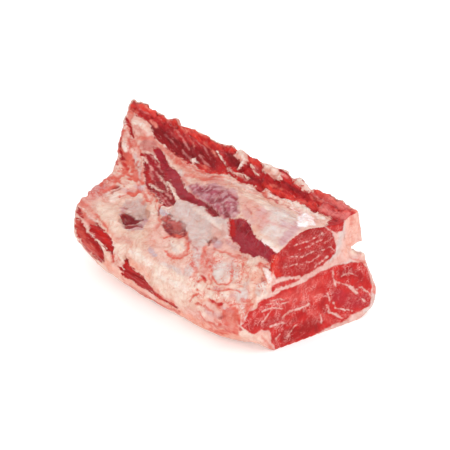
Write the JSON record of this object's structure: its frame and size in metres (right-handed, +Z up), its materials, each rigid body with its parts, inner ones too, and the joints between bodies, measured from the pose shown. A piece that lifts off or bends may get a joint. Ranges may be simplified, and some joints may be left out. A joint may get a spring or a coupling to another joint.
{
  "type": "raw beef short loin",
  "caption": "Bone-in beef loin joint: split backbone and strip loin below, tenderloin on top, flank along one side, lying on its outer fat.",
  "frame": {"origin": "the middle of the footprint, on the surface that the loin lies on", "axes": "+X along the loin, out of the sirloin cut; +Y from the split backbone to the flank; +Z up"},
  "size_m": [0.3872, 0.2172, 0.139],
  "materials": {
    "tenderloin_lean": "satin",
    "backbone": "satin",
    "inner_fat": "satin",
    "flank_lean": "satin",
    "loin_lean": "satin",
    "outer_fat": "satin"
  },
  "bodies": {
    "root": {"tenderloin": "tenderloin_lean", "chine_bone": "backbone", "suet": "inner_fat", "flank": "flank_lean", "strip_loin": "loin_lean", "fat_cover": "outer_fat"}
  },
  "joints": []
}
